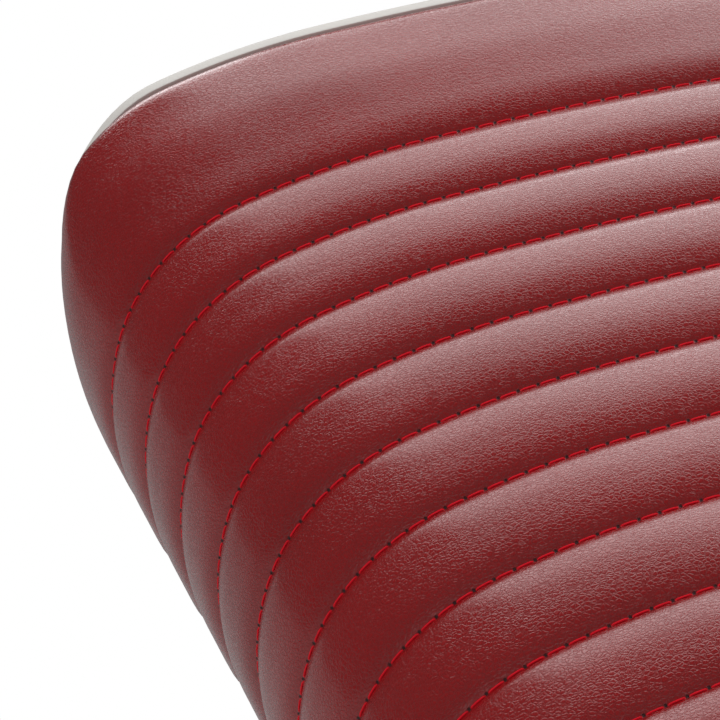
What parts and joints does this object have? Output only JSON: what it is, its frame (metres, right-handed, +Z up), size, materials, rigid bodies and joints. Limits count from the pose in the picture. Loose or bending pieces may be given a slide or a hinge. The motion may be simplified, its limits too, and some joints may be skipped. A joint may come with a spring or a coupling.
{
  "type": "hydraulic barber chair",
  "caption": "Reclining barber chair on a round pump base, with channelled leather pads, a grey back shell, a headrest, armrests and a leg rest with a foot plate.",
  "frame": {"origin": "middle of the base plate's underside, on the floor", "axes": "+Z up; the sitter faces -Y; +X is on the right of someone who looks along +Y. At rest the back is let down to 70 degrees from upright and the leg rest is raised, as pictured"},
  "size_m": [0.679, 1.7128, 0.8232],
  "materials": {
    "leather": "satin",
    "shell": "satin",
    "chrome": "polished",
    "steel": "satin",
    "rubber": "matte",
    "plywood": "matte",
    "plastic": "satin"
  },
  "bodies": {
    "base": {"base_plate": "steel", "base_trim_ring": "rubber", "base_cover": "chrome", "pump_housing": "steel", "ram_bush": "plastic", "wiper_ring": "rubber", "pump_sleeve": "chrome", "pump_block": "steel", "pump_lever_pin": "chrome"},
    "foot_lever": {"pump_lever": "chrome", "pedal_pad": "rubber"},
    "plunger": {"pump_plunger": "chrome"},
    "ram": {"lift_ram": "chrome"},
    "seat": {"swivel_hub": "steel", "top_plate": "steel", "cross_tube_front": "steel", "cross_tube_rear": "steel", "seat_rail_left": "steel", "seat_rail_right": "steel", "seat_pan": "plywood", "seat_cushion": "leather", "side_cover_left": "shell", "side_cover_right": "shell", "arm_frame_left": "chrome", "arm_frame_right": "chrome", "arm_pad_left": "leather", "arm_pad_right": "leather", "back_hinge_bracket_left": "steel", "back_hinge_bracket_right": "steel", "leg_hinge_bracket_left": "steel", "leg_hinge_bracket_right": "steel", "recline_axle": "chrome", "leg_axle": "chrome", "recline_cylinder": "steel", "cylinder_cradle": "steel", "recline_lever_pin": "chrome"},
    "side_lever": {"recline_lever": "chrome"},
    "back": {"back_cushion": "leather", "back_board": "plywood", "back_shell": "shell", "back_bracket_left": "steel", "back_bracket_right": "steel", "back_crossbar": "chrome", "rear_handle": "chrome", "headrest_socket": "steel"},
    "linkage": {"link_bar": "steel", "recline_rod": "chrome"},
    "head_post": {"headrest_stem": "chrome"},
    "head": {"headrest_pad": "leather", "headrest_shell": "shell", "headrest_pin": "chrome"},
    "knob": {"headrest_knob": "plastic"},
    "leg_rest": {"leg_pad": "leather", "leg_board": "plywood", "leg_bracket_left": "steel", "leg_bracket_right": "steel", "leg_crossbar": "chrome", "foot_pin": "chrome"},
    "foot_rest": {"foot_plate": "chrome", "foot_tread": "rubber"}
  },
  "joints": [
    {"name": "lift", "type": "slide", "parent": "base", "child": "ram", "axis": [0, 0, 1], "range_m": [0, 0.15]},
    {"name": "swivel", "type": "hinge", "parent": "ram", "child": "seat", "pos_m": [0, 0, 0.34], "axis": [0, 0, 1], "continuous": true},
    {"name": "back_recline", "type": "hinge", "parent": "seat", "child": "back", "pos_m": [0, 0.215, 0.47503], "axis": [1, 0, 0], "range_deg": [0, 55]},
    {"name": "leg_raise", "type": "hinge", "parent": "seat", "child": "leg_rest", "pos_m": [0, -0.335, 0.46766], "axis": [1, 0, 0], "range_deg": [0, 60]},
    {"name": "link_travel", "type": "slide", "parent": "seat", "child": "linkage", "axis": [0, 1, 0], "range_m": [0, 0.0832]},
    {"name": "foot_fold", "type": "hinge", "parent": "leg_rest", "child": "foot_rest", "pos_m": [0, -0.62964, 0.39608], "axis": [-1, 0, 0], "range_deg": [0, 80]},
    {"name": "headrest_height", "type": "slide", "parent": "back", "child": "head_post", "axis": [0, 0.9397, 0.342], "range_m": [-0.06, 0.04]},
    {"name": "headrest_tilt", "type": "hinge", "parent": "head_post", "child": "head", "pos_m": [0, 0.92926, 0.70488], "axis": [1, 0, 0], "range_deg": [-20, 30]},
    {"name": "headrest_lock", "type": "hinge", "parent": "back", "child": "knob", "pos_m": [0, 0.77628, 0.50301], "axis": [0, 0.342, -0.9397], "range_deg": [-180, 180]},
    {"name": "recline_release", "type": "hinge", "parent": "seat", "child": "side_lever", "pos_m": [0.26, 0.04, 0.4201], "axis": [-1, 0, 0], "range_deg": [0, 20], "stiffness_Nm_per_rad": 2, "springref_deg": -22.92},
    {"name": "pump_stroke", "type": "hinge", "parent": "base", "child": "foot_lever", "pos_m": [0.084, 0, 0.096], "axis": [0, 1, 0], "range_deg": [0, 12], "stiffness_Nm_per_rad": 12, "springref_deg": -17.19},
    {"name": "plunger_stroke", "type": "slide", "parent": "base", "child": "plunger", "axis": [0, 0, -1], "range_m": [0, 0.00545]}
  ],
  "couplings": [
    {"joint": "leg_raise", "follows": "back_recline", "ratio": 1.0909},
    {"joint": "link_travel", "follows": "back_recline", "m_per_rad": 0.086584},
    {"joint": "plunger_stroke", "follows": "pump_stroke", "m_per_rad": 0.026}
  ]
}
